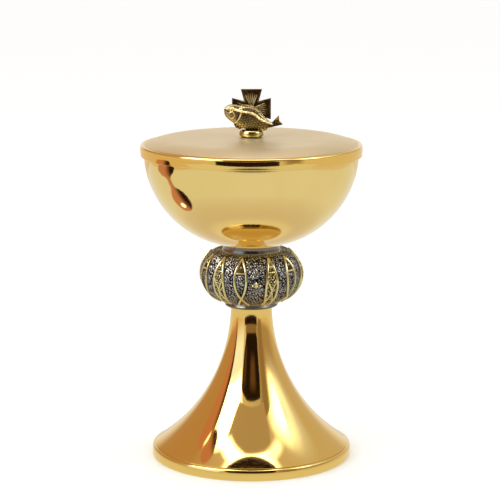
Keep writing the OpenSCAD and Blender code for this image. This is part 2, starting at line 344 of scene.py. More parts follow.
def satin_top(name, polished_below):
    """The lid: brushed satin on its top, and polished like the bowl below a height."""
    material, tree, shader = new_material(name)
    shader.inputs["Metallic"].default_value = 1
    height = add_node(tree, "ShaderNodeSeparateXYZ")
    tree.links.new(add_node(tree, "ShaderNodeTexCoord").outputs["Object"], height.inputs["Vector"])
    satin = add_node(tree, "ShaderNodeMapRange", interpolation_type="SMOOTHSTEP")
    satin.inputs["From Min"].default_value = polished_below
    satin.inputs["From Max"].default_value = polished_below + 0.0008
    tree.links.new(height.outputs["Z"], satin.inputs["Value"])
    satin = satin.outputs["Result"]
    cloud = noise(tree, 22.0, 4.0)
    top = mix_colours(tree, cloud, (0.50, 0.41, 0.235), (0.65, 0.545, 0.35))
    tree.links.new(mix_colours(tree, satin, (0.78, 0.555, 0.165), top), shader.inputs["Base Color"])
    wipe = noise(tree, 60.0, 5.0)
    level = add_node(tree, "ShaderNodeMix", data_type="FLOAT")
    tree.links.new(satin, level.inputs["Factor"])
    tree.links.new(remap(tree, wipe, 0.04, 0.10), level.inputs["A"])
    tree.links.new(remap(tree, wipe, 0.36, 0.50), level.inputs["B"])
    tree.links.new(level.outputs["Result"], shader.inputs["Roughness"])
    bump(tree, shader, turned_grain(tree, 700.0), 0.000004)
    return material


def cast_metal(name, bright, dark, rough_bright, rough_dark, pit_depth):
    """Cast and plated metal: bright on its high places, and dark by a vertex value that holds oxide in its hollows and
    painted shade beside the knop's gold lines and in plain fish heads.
    """
    material, tree, shader = new_material(name)
    shader.inputs["Metallic"].default_value = 1
    # The vertex value of oxide and painted shade.
    hollow = add_node(tree, "ShaderNodeAttribute", attribute_name="patina_and_shade").outputs["Fac"]
    cloud = noise(tree, 160.0, 3.0)
    uneven = add_node(tree, "ShaderNodeMath", operation="MULTIPLY_ADD")
    tree.links.new(cloud, uneven.inputs[0])
    uneven.inputs[1].default_value = 0.5
    shifted = add_node(tree, "ShaderNodeMath", operation="SUBTRACT")
    tree.links.new(hollow, shifted.inputs[0])
    shifted.inputs[1].default_value = 0.25
    tree.links.new(shifted.outputs[0], uneven.inputs[2])
    clamp = add_node(tree, "ShaderNodeClamp")
    tree.links.new(uneven.outputs[0], clamp.inputs["Value"])
    amount = clamp.outputs[0]
    tree.links.new(mix_colours(tree, amount, bright, dark), shader.inputs["Base Color"])
    tree.links.new(remap(tree, amount, rough_bright, rough_dark), shader.inputs["Roughness"])
    bump(tree, shader, noise(tree, 1400.0, 2.0), pit_depth)
    return material


def make_materials():
    gold = (0.78, 0.555, 0.165)
    return {
        "polished_gold": turned_metal("polished gold", gold, (0.80, 0.58, 0.185), 0.035, 0.05, 0.000002),
        "bowl_gold": turned_metal("bowl gold", (0.76, 0.555, 0.185), (0.83, 0.635, 0.26), 0.04, 0.07, 0.000003),
        "bead_gold": turned_metal("bead gold", (0.46, 0.38, 0.15), (0.38, 0.31, 0.12), 0.05, 0.05, 0.000002),
        "lid_gold": satin_top("satin gold", (RIM_Z + 0.9) * MM),
        "relief_gold": cast_metal("relief gold", (0.74, 0.66, 0.30), (0.05, 0.032, 0.012), 0.16, 0.4, 0.00002),
        "old_gold": cast_metal("old gold", (0.72, 0.58, 0.27), (0.05, 0.026, 0.006), 0.16, 0.4, 0.00002),
        "oxidised_silver": cast_metal("oxidised silver", (0.49, 0.465, 0.415), (0.010, 0.009, 0.007), 0.2, 0.5, 0.00003),
        "foot_gold": turned_metal("foot gold", (0.78, 0.525, 0.15), (0.80, 0.55, 0.165), 0.035, 0.05, 0.000002),
        "polished_silver": turned_metal("polished silver", (0.24, 0.215, 0.175), (0.15, 0.13, 0.10), 0.12, 0.12, 0.000004),
        "plain_brass": turned_metal("plain brass", (0.70, 0.52, 0.24), (0.60, 0.44, 0.20), 0.22, 0.12, 0.00001),
        "steel": turned_metal("zinc plated steel", (0.58, 0.58, 0.58), (0.50, 0.50, 0.51), 0.25, 0.12, 0.00001),
    }


# ---- turned shells ----

def foot_outline():
    drop = FOOT_TOP - (BAND_H + 0.4)
    run = SHELL_R - NECK_R
    radius = (drop * drop + run * run) / (2 * run)
    centre = NECK_R + radius
    inner = radius + FOOT_WALL
    edge = math.degrees(math.asin(drop / radius))
    inner_edge = math.degrees(math.acos((centre - SHELL_R) / inner))
    neck = math.degrees(math.asin(FOOT_WALL / inner))
    outer = arc(centre, FOOT_TOP, radius, 180 + 0.3, 180 + edge, 90)
    under = arc(centre, FOOT_TOP, inner, 180 + inner_edge, 180 + neck, 70)
    top = [(ROD_HOLE, FOOT_TOP, 0), (NECK_R, FOOT_TOP, 0.25)]
    return rounded(top + plain(outer) + plain(under) + [(ROD_HOLE, FOOT_TOP - FOOT_WALL, 0)])


def band_outline():
    inner = SHELL_R - 2.4
    return rounded([
        (inner, 0, 0.4), (BAND_R - 0.5, 0, 0.35), (BAND_R, 0.8, 0.5), (BAND_R, 2.4, 0), (BAND_R - 0.03, 4.0, 0),
        (BAND_R - 0.14, 4.9, 0), (BAND_R - 0.5, 5.8, 0.2), (BAND_R - 1.2, BAND_H, 0.2), (SHELL_R + 0.02, BAND_H, 0),
        (SHELL_R + 0.02, 4.9, 0), (inner, BAND_H - 0.2, 0.2),
    ])


def bowl_outline():
    outer = arc(BOWL_C, BOWL_Z0 + BOWL_ARC, BOWL_ARC, -90, 0, 110)
    inner = arc(BOWL_C, BOWL_Z0 + BOWL_ARC, BOWL_ARC - BOWL_WALL, 0, -90, 90)
    rim = [(BOWL_R, RIM_Z, 0.35), (BOWL_R - BOWL_WALL, RIM_Z, 0.35)]
    pole = 0.01
    return rounded([(pole, BOWL_Z0, 0)] + plain(outer) + rim + plain(inner) + [(pole, BOWL_Z0 + BOWL_WALL, 0)])


def crown_arcs(wall, start, end):
    """The lid's crown and shoulder arcs between two radii, moved in by a wall thickness."""
    tilt = CROWN_RUN / CROWN_ARC
    sink = math.sqrt(1 - tilt * tilt)
    shoulder_r = CROWN_RUN - SHOULDER_ARC * tilt
    shoulder_z = CROWN_Z - CROWN_ARC + CROWN_ARC * sink - SHOULDER_ARC * sink
    crown = CROWN_ARC - wall
    shoulder = SHOULDER_ARC - wall
    r1 = np.linspace(start, CROWN_RUN, 24)
    r2 = np.linspace(CROWN_RUN, end, 40)[1:]
    z1 = CROWN_Z - CROWN_ARC + np.sqrt(crown ** 2 - r1 ** 2)
    z2 = shoulder_z + np.sqrt(shoulder ** 2 - (r2 - shoulder_r) ** 2)
    return np.column_stack([np.append(r1, r2), np.append(z1, z2)])


def lid_outline():
    hole = 2.2
    seat = BOWL_R - 3
    skirt_in = LID_R - LID_WALL
    roll_z = RIM_Z + 0.2
    top = crown_arcs(0, hole, SHOULDER_END)
    roll = arc(LID_R - ROLL, roll_z, ROLL, 130, 0, 14)
    under = crown_arcs(LID_WALL, hole, seat)[::-1]
    skirt = [(LID_R, roll_z - 0.6, 0), (LID_R, roll_z - 2.1, 0), (LID_R - 0.07, roll_z - 3.1, 0), (LID_R - 0.2, SKIRT_Z + 0.6, 0),
             (LID_R - 0.22, SKIRT_Z, 0.3), (skirt_in, SKIRT_Z, 0.3), (skirt_in, RIM_Z, 0.2), (seat, RIM_Z, 0.2)]
    return rounded(plain(top) + plain(roll) + skirt + plain(under))


def upper_collar_outline():
    bore = 7.2
    spigot = KNOP_TOP_HOLE - 0.1
    top = BOWL_Z0 + BOWL_ARC - math.sqrt(BOWL_ARC ** 2 - (COLLAR_R - BOWL_C) ** 2) - 0.08
    cove = arc(COLLAR_R + 4.55, (KNOP_Z1 + top) / 2 + 0.35, 5, 198, 163, 12)
    return rounded([
        (bore, KNOP_Z1 - 1.6, 0), (spigot, KNOP_Z1 - 1.6, 0.3), (spigot, KNOP_Z1, 0),
        (COLLAR_R - 0.1, KNOP_Z1, 0.25), (COLLAR_R, KNOP_Z1 + 0.5, 0.2),
        *plain(cove), (COLLAR_R, top, 0.15), (BOWL_C + 3, BOWL_Z0 + 0.1, 0), (bore, BOWL_Z0, 0),
    ])


def lower_collar_outline():
    spigot = KNOP_FOOT_HOLE - 0.1
    lip = arc(LOWER_COLLAR_R - 0.3, FOOT_TOP - 0.35, 0.95, -150, 60, 16)
    return rounded([
        (ROD_HOLE, FOOT_TOP, 0), (NECK_R + 0.1, FOOT_TOP, 0), (NECK_R + 0.1, FOOT_TOP - 0.8, 0.2),
        *plain(lip), (LOWER_COLLAR_R - 0.2, FOOT_TOP + 0.9, 0.3), (LOWER_COLLAR_R + 0.5, KNOP_Z0, 0.3),
        (spigot, KNOP_Z0, 0), (spigot, KNOP_Z0 + 1.4, 0.2), (ROD_HOLE, KNOP_Z0 + 1.4, 0),
    ])


def bead_outline():
    half = BEAD_H / 2
    hole = 2.05
    side = arc(BEAD_R - half, CROWN_Z + half, half, -90, 90, 28)
    neck = 3.0
    top = CROWN_Z + BEAD_H
    return rounded([
        (hole, CROWN_Z, 0), *plain(side), (neck + 0.4, top, 0.3), (neck, top + 0.66, 0),
        (0.01, top + 0.66, 0), (0.01, top - 1, 0), (hole, top - 1, 0),
    ])


def boss_outline():
    hole = 3.05
    z0 = low("bowl_boss")[2]
    return rounded([
        (hole, z0, 0.4), (7, z0, 0.6), (7, BOWL_Z0, 0), (0.01, BOWL_Z0, 0), (0.01, z0 + 9.5, 0), (hole, z0 + 9.5, 0),
    ])


def washer_outline(node, hole):
    z0, z1, r = low(node)[2], high(node)[2], high(node)[0]
    return rounded([(hole, z0, 0.1), (r, z0, 0.2), (r, z1, 0.2), (hole, z1, 0.1)])


# ---- fasteners ----

def hex_nut(name, node, hole):
    """A hex nut with chamfered corners and a countersunk hole."""
    z0, z1 = low(node)[2], high(node)[2]
    flat = high(node)[1]
    turn = np.linspace(0, 2 * math.pi, 144, endpoint=False)
    rim = flat / np.cos((turn + math.pi / 6) % (math.pi / 3) - math.pi / 6)
    round_r = flat * 0.97
    fall = np.maximum(rim - round_r, 0) * math.tan(math.radians(30))
    inner = np.minimum(rim, round_r)
    even = np.ones_like(turn)
    sink = 0.35
    rows = [
        (hole * even, z0 + sink * even), ((hole + sink) * even, z0 * even), (inner, z0 * even), (rim, z0 + fall),
        (rim, z1 - fall), (inner, z1 * even), ((hole + sink) * even, z1 * even), (hole * even, z1 - sink * even),
    ]
    points = np.array([np.column_stack([r * np.cos(turn), r * np.sin(turn), z]) for r, z in rows])
    shape = Shape(name)
    shape.add(points, grid_quads(len(rows), len(turn), wrap_rows=True, wrap_cols=True))
    return shape.make(20)


def threaded_rod(name, node, pitch):
    """A rod with a real helical thread and plain chamfered ends."""
    z0, z1, r = low(node)[2], high(node)[2], high(node)[0]
    steps = 40
    turn = np.linspace(0, 2 * math.pi, steps, endpoint=False)
    z = np.arange(z0, z1 + 1e-6, pitch / 8)
    z[-1] = z1
    wave = np.abs(((z[:, None] / pitch - turn / (2 * math.pi)) % 1) * 2 - 1)
    radius = r - 0.54 * pitch * wave
    end = np.minimum(z - z0, z1 - z)[:, None]
    radius = np.minimum(radius, r - 0.6 * pitch + end)
    points = np.stack([radius * np.cos(turn), radius * np.sin(turn), np.broadcast_to(z[:, None], radius.shape)], 2)
    faces = grid_quads(len(z), steps, wrap_cols=True)
    faces.append(tuple(range(steps)))
    faces.append(tuple((len(z) - 1) * steps + j for j in reversed(range(steps))))
    shape = Shape(name)
    shape.add(points, faces)
    return shape.make(0)


# ---- knop ----

FISH_TOP = KNOP_MID + 12
FISH_CROSS = KNOP_MID - 9.8
FISH_TAIL = KNOP_MID - 13.9
DETAIL_CROSS = KNOP_MID - 4.8
SPRIG_ANGLE = 5.5
FISH_PITCH = 27
FISH_GROUPS = 4
FISH_PER_GROUP = 3


def on_knop(x, z, lift=0.0):
    """Points on the knop's silver surface, seen from the front at (x, z), with their normals."""
    x, z = np.asarray(x, float), np.asarray(z, float)
    slope = np.arcsin(np.clip((z - KNOP_MID) / KNOP_ARC, -1, 1))
    r = KNOP_C + KNOP_ARC * np.cos(slope)
    y = -np.sqrt(np.maximum(r * r - x * x, 0))
    normal = np.stack([np.cos(slope) * x / r, np.cos(slope) * y / r, np.sin(slope)], -1)
    return np.stack([x, y, z], -1) + normal * np.asarray(lift)[..., None], normal


def turned(points, angle):
    """Points turned round the Z axis by an angle in degrees; positive goes to the right at the front."""
    a = math.radians(angle)
    x, y = points[..., 0], points[..., 1]
    return np.stack([x * math.cos(a) - y * math.sin(a), x * math.sin(a) + y * math.cos(a), points[..., 2]], -1)


def leaf_width(z, z0, z1, half_w):
    """Half the width of a pointed oval between z0 and z1, at height z."""
    half_h = (z1 - z0) / 2
    r = (half_h ** 2 + half_w ** 2) / (2 * half_w)
    return half_w - r + np.sqrt(np.maximum(r * r - (z - (z0 + z1) / 2) ** 2, 0))


def line(a, b, count=14):
    return np.linspace(a, b, count)


def plain_strokes():
    """The lines of a plain fish, as (points, width, height share)."""
    edge = FISH_HALF_W - FISH_LINE / 2
    strokes = []
    for side in (-1, 1):
        z = np.linspace(FISH_CROSS, FISH_TOP, 40)
        body = np.column_stack([side * leaf_width(z, FISH_CROSS, FISH_TOP, edge), z])
        tail = line((-side * 2.7, FISH_TAIL), (-side * 0.2, FISH_CROSS - 0.3), 12)
        strokes.append((np.concatenate([tail, body]), FISH_LINE, 1.0 + 0.02 * side))
    gill = KNOP_MID + 4.9
    half = float(leaf_width(gill, FISH_CROSS, FISH_TOP, edge))
    strokes.append((line((-half, gill), (half, gill)), 0.85, 0.85))
    return strokes


def detailed_strokes():
    """The lines of a detailed fish: a tall outline round a smaller fish, with a gill line and a base line."""
    edge = FISH_HALF_W - FISH_LINE / 2
    bottom = FISH_TAIL - 4
    strokes = []
    for side in (-1, 1):
        z = np.linspace(FISH_TAIL, FISH_TOP, 46)
        outer = np.column_stack([side * leaf_width(z, bottom, FISH_TOP, edge), z])
        strokes.append((outer, FISH_LINE, 1.0 + 0.02 * side))
        body = line((side * 3.3, KNOP_MID + 2), (0, DETAIL_CROSS), 12)
        tail = line((side * 0.2, DETAIL_CROSS), (-side * 2.4, FISH_TAIL + 0.3), 12)
        strokes.append((np.concatenate([body, tail]), 0.85, 0.85 + 0.02 * side))
    gill = KNOP_MID + 5.2
    half = float(leaf_width(gill, bottom, FISH_TOP, edge))
    strokes.append((line((-half, gill), (half, gill)), 0.8, 0.75))
    base = FISH_TAIL + 0.4
    half = float(leaf_width(base, bottom, FISH_TOP, edge))
    strokes.append((line((-half, base), (half, base)), 0.8, 0.8))
    return strokes


def fish_ground(shape, detailed, angle):
    """The sunk ground inside a fish: all of a detailed one, rough and dark between bright crumbs, and only the head of
    a plain one, smooth and dark all over with painted shade.
    """
    z0, foot = (FISH_TAIL + 0.4, FISH_TAIL - 4) if detailed else (KNOP_MID + 4.9, FISH_CROSS)
    z = np.linspace(z0, FISH_TOP - 0.4, 60 if detailed else 18)[:, None]
    x = np.linspace(-1, 1, 23) * leaf_width(z, foot, FISH_TOP, FISH_HALF_W - FISH_LINE / 2)
    z = np.broadcast_to(z, x.shape)
    bottom, _ = on_knop(x, z, np.full(x.shape, -0.2))
    crumb = smoothstep(0.25, 1.1, grain(bottom.reshape(-1, 3), 1.3, 40, SEED + 3)).reshape(x.shape)
    front, _ = on_knop(x, z, 0.3 + 0.3 * crumb * detailed)
    # Dark value: painted shade over all of a plain fish's head; dark between the crumbs of a detailed one.
    shape.slab(turned(front, angle), turned(bottom, angle), 1.15 - 1.0 * crumb * detailed)


def stud(shape, x, z, radius, height, angle):
    """A small domed stud on the knop."""
    rings, spokes = 5, 14
    tilt = np.linspace(0, math.pi / 2, rings)[:, None]
    turn = np.linspace(0, 2 * math.pi, spokes, endpoint=False)
    dx, dz = radius * np.cos(tilt) * np.cos(turn), radius * np.cos(tilt) * np.sin(turn)
    lift = np.broadcast_to(height * np.sin(tilt), dx.shape)
    points, _ = on_knop(x + dx, z + dz, lift)
    faces = grid_quads(rings, spokes, wrap_cols=True)
    faces.append(tuple((rings - 1) * spokes + j for j in range(spokes)))
    faces.append(tuple(reversed(range(spokes))))
    shape.add(turned(points, angle), faces, (1 - np.sin(np.repeat(tilt[:, 0], spokes))) * 0.8)


def knop_fish(name, detailed, angle):
    shape = Shape(name)
    for flat, width, share in (detailed_strokes() if detailed else plain_strokes()):
        path, normal = on_knop(flat[:, 0], flat[:, 1])
        shape.ribbon(turned(path, angle), turned(normal, angle), width, RELIEF * share)
    fish_ground(shape, detailed, angle)
    stud(shape, 0, KNOP_MID + 8, 0.85 if detailed else 0.6, 0.75, angle)
    return shape.make(30)


def knop_sprigs():
    """A three-leaved sprig in each gap between the groups of fish."""
    shape = Shape("knop_sprigs")
    centre = KNOP_MID - 1.6
    for group in range(FISH_GROUPS):
        angle = SPRIG_ANGLE + 360 / FISH_GROUPS * group
        for lean in (-72, 0, 72):
            t = np.linspace(-1, 1, 11)[:, None]
            w = np.linspace(-1, 1, 7)
            along = 1.35 + 1.15 * t
            across = 0.68 * w * np.sqrt(np.maximum(1 - t ** 2, 0.02))
            a = math.radians(lean)
            x = along * math.sin(a) + across * math.cos(a)
            z = centre - 0.7 + along * math.cos(a) - across * math.sin(a)
            lift = 0.25 + 0.45 * (1 - np.abs(w)) * np.sqrt(np.maximum(1 - t ** 2, 0))
            front, _ = on_knop(x, z, lift)
            back, _ = on_knop(x, z, np.full(x.shape, -0.2))
            shape.slab(turned(front, angle), turned(back, angle), 0.5 * (1 - lift / 0.7))
        stud(shape, 0, centre - 0.9, 0.5, 0.75, angle)
    return shape.make(30)


def fish_turns():
    """The angle of each fish, in the order of the CAD nodes, and whether it is a detailed one."""
    count = FISH_GROUPS * FISH_PER_GROUP
    first = SPRIG_ANGLE + 180 / FISH_GROUPS
    return [
        (first + 360 / FISH_GROUPS * (i // FISH_PER_GROUP) + FISH_PITCH * (i % FISH_PER_GROUP - 1), i % 2 == 0)
        for i in range(count)
    ]


def line_tree():
    """Every gold line on the knop as points in a search tree, for the dark beside it: oxide and painted shadow."""
    points = []
    for angle, detailed in fish_turns():
        for flat, width, share in (detailed_strokes() if detailed else plain_strokes()):
            points.append(turned(on_knop(flat[:, 0], flat[:, 1])[0], angle))
    points = np.concatenate(points)
    tree = kdtree.KDTree(len(points))
    for i, p in enumerate(points):
        tree.insert(p, i)
    tree.balance()
    return tree


def knop_body():
    """The hollow cast knop, with a worm-like grain raised on its outside."""
    steps, rows = 624, 150
    ease = 1.2
    top_r = KNOP_C + math.sqrt(KNOP_ARC ** 2 - (KNOP_Z1 - KNOP_MID) ** 2)
    foot_r = KNOP_C + math.sqrt(KNOP_ARC ** 2 - (KNOP_Z0 - KNOP_MID) ** 2)
    top_turn = math.degrees(math.asin((KNOP_Z1 - KNOP_MID) / KNOP_ARC))
    foot_turn = math.degrees(math.asin((KNOP_Z0 - KNOP_MID) / KNOP_ARC))
    side = arc(KNOP_C, KNOP_MID, KNOP_ARC, top_turn - 4, foot_turn + 3, 120)
    rough = rounded([
        (KNOP_TOP_HOLE, KNOP_Z1, 0), (top_r, KNOP_Z1, ease), *plain(side),
        (foot_r, KNOP_Z0, 0.5), (KNOP_FOOT_HOLE, KNOP_Z0, 0),
    ], 9)
    length = np.append(0, np.cumsum(np.linalg.norm(np.diff(rough, axis=0), axis=1)))
    even = np.linspace(0, length[-1], rows)
    r, z = np.interp(even, length, rough[:, 0]), np.interp(even, length, rough[:, 1])
    dr, dz = np.gradient(r), np.gradient(z)
    size = np.hypot(dr, dz)
    out_r, out_z = -dz / size, dr / size
    turn = np.linspace(0, 2 * math.pi, steps, endpoint=False)
    points = np.stack([r[:, None] * np.sin(turn), -r[:, None] * np.cos(turn), np.repeat(z[:, None], steps, 1)], 2)
    normal = np.stack([out_r[:, None] * np.sin(turn), -out_r[:, None] * np.cos(turn), np.repeat(out_z[:, None], steps, 1)], 2)
    flat = points.reshape(-1, 3)
    worm = grain(flat, 1.15, 70, SEED) + 0.35 * grain(flat, 0.8, 40, SEED + 1)
    raised = smoothstep(-0.45, 1.05, worm)
    tree = line_tree()
    near = np.array([tree.find(p)[2] for p in flat])
    # How near each point is to a gold line: the grain is flattened there and darkened with painted shadow.
    beside = 1 - smoothstep(0.6, 1.7, near)
    covered = np.maximum(smoothstep(COLLAR_R + 0.8, COLLAR_R, np.hypot(flat[:, 0], flat[:, 1])) * (flat[:, 2] > KNOP_MID),
                         smoothstep(KNOP_Z0 + 0.6, KNOP_Z0 + 0.1, flat[:, 2]))
    lift = (0.42 * raised - 0.17) * (1 - covered) * (1 - 0.8 * beside)
    outside = points + normal * lift.reshape(rows, steps, 1)
    # Dark in the grain's hollows, as oxide, and darker beside the gold lines, as oxide and painted shadow.
    patina_and_shade = np.clip(1.4 - 1.3 * raised + 0.85 * beside, 0, 1)
    inner_arc = KNOP_ARC - KNOP_WALL
    land = 2.2
    swing = math.degrees(math.asin((KNOP_Z1 - land - KNOP_MID) / inner_arc))
    roof = [[KNOP_TOP_HOLE, KNOP_Z1 - land]]
    inner = np.vstack([[[KNOP_FOOT_HOLE, KNOP_MID - inner_arc]], arc(KNOP_C, KNOP_MID, inner_arc, -88, swing, 8), roof])
    inside = np.stack([inner[:, :1] * np.sin(turn), -inner[:, :1] * np.cos(turn),
                       np.repeat(inner[:, 1:], steps, 1)], 2)
    shape = Shape("knop_body")
    shape.add(np.concatenate([outside, inside]), grid_quads(rows + len(inner), steps, True, True),
              np.append(patina_and_shade, np.full(inside.shape[0] * steps, 0.7)))
    return shape.make(0)


# ---- finial ----

def segment_distance(x, z, outline):
    """Distance from points to a closed outline in the plane."""
    best = np.full(np.shape(x), 1e9)
    for a, b in zip(outline, np.roll(outline, -1, 0)):
        run = b - a
        t = np.clip(((x - a[0]) * run[0] + (z - a[1]) * run[1]) / (run @ run), 0, 1)
        best = np.minimum(best, np.hypot(x - a[0] - t * run[0], z - a[1] - t * run[1]))
    return best


def finial_cross():
    """A flared cross: a raised border, a sunk panel and ridges that spread from the centre, on both faces."""
    tip, end, waist = CROSS_W / 2, CROSS_END / 2, CROSS_WAIST / 2
    corners = []
    for quarter in range(4):
        a = math.radians(-90 * quarter)
        spin2 = np.array([[math.cos(a), -math.sin(a)], [math.sin(a), math.cos(a)]])
        corners += [spin2 @ p for p in ((-waist, waist), (-end, tip), (end, tip))]
    outline = np.array(corners)
    cells = 56
    u = np.sin(np.linspace(-math.pi / 2, math.pi / 2, cells + 1))
    v = np.linspace(0, 1, 44) ** 0.9
    flat, quads = [], []
    for quarter in range(4):
        half = waist + (end - waist) * v[:, None]
        x, z = half * u, np.repeat((waist + (tip - waist) * v)[:, None], cells + 1, 1)
        a = math.radians(90 * quarter)
        quads += grid_quads(len(v), cells + 1, start=sum(map(len, flat)))
        flat.append(np.column_stack([(x * math.cos(a) - z * math.sin(a)).ravel(),
                                     (x * math.sin(a) + z * math.cos(a)).ravel()]))
    quads += grid_quads(cells + 1, cells + 1, start=sum(map(len, flat)))
    x, z = np.meshgrid(waist * u, waist * u)
    flat.append(np.column_stack([x.ravel(), z.ravel()]))
    flat = np.concatenate(flat)
    keys, first, where = np.unique(np.round(flat, 4), axis=0, return_index=True, return_inverse=True)
    flat, where = flat[first], where.ravel()
    quads = [tuple(int(where[i]) for i in q) for q in quads]
    x, z = flat[:, 0], flat[:, 1]
    edge = segment_distance(x, z, outline)
    far, near = np.maximum(np.abs(x), np.abs(z)), np.minimum(np.abs(x), np.abs(z))
    signed = np.where(np.abs(z) >= np.abs(x), x * np.sign(z), -z * np.sign(x))
    border = 1 - smoothstep(0.55, 0.9, edge)
    ridge = np.zeros(len(flat))
    for k in range(6):
        slope = (k - 2.5) * 0.165
        reach = tip - 1.9 - 0.5 * abs(k - 2.5) + 0.35 * (k % 2)
        width = 0.16 + 0.012 * far
        line_height = np.exp(-((signed - slope * far) / width) ** 2)
        ridge = np.maximum(ridge, line_height * smoothstep(reach + 0.4, reach - 0.4, far) * smoothstep(1.2, 2.4, far))
    boss = smoothstep(2.1, 1.5, np.hypot(x, z))
    height = np.maximum.reduce([border * 0.42, ridge * 0.34 * (1 - border), boss * 0.42])
    height -= 0.18 * (1 - smoothstep(0.0, 0.3, edge))
    patina_and_shade = np.clip(1.2 - height / 0.3 + 0.9 * border + 0.7 * smoothstep(0.58, 0.78, far / tip), 0, 1)
    base = CROSS_T / 2 - 0.42
    front = np.column_stack([x, -(base + height), z + CROSS_Z])
    back = np.column_stack([x, base + height, z + CROSS_Z])
    size = len(flat)
    used = {}
    for q in quads:
        for a, b in zip(q, q[1:] + q[:1]):
            used[(a, b)] = used.get((a, b), 0) + 1
    faces = list(quads) + [tuple(i + size for i in reversed(q)) for q in quads]
    faces += [(b, a, a + size, b + size) for a, b in used if (b, a) not in used]
    shape = Shape("finial_cross")
    shape.add(np.concatenate([front, back]), faces, np.concatenate([patina_and_shade, patina_and_shade]))
    return shape.make(50)


def bezier_chain(points, count):
    """A smooth curve through points: Catmull-Rom, evenly sampled in its parameter."""
    points = np.asarray(points, float)
    padded = np.vstack([2 * points[0] - points[1], points, 2 * points[-1] - points[-2]])
    t = np.linspace(0, len(points) - 1, count)
    i = np.minimum(t.astype(int), len(points) - 2)
    f = (t - i)[:, None]
    p0, p1, p2, p3 = padded[i], padded[i + 1], padded[i + 2], padded[i + 3]
    return 0.5 * (2 * p1 + (p2 - p0) * f + (2 * p0 - 5 * p1 + 4 * p2 - p3) * f ** 2
                  + (3 * p1 - p0 - 3 * p2 + p3) * f ** 3)


def curve_ridge(x, z, points, width):
    """1 on a smooth curve through points in the plane, falling to 0 within about its width."""
    path = bezier_chain(points, 60)
    near = np.min(np.hypot(x[..., None] - path[:, 0], z[..., None] - path[:, 1]), axis=-1)
    return np.exp(-(near / width) ** 2)


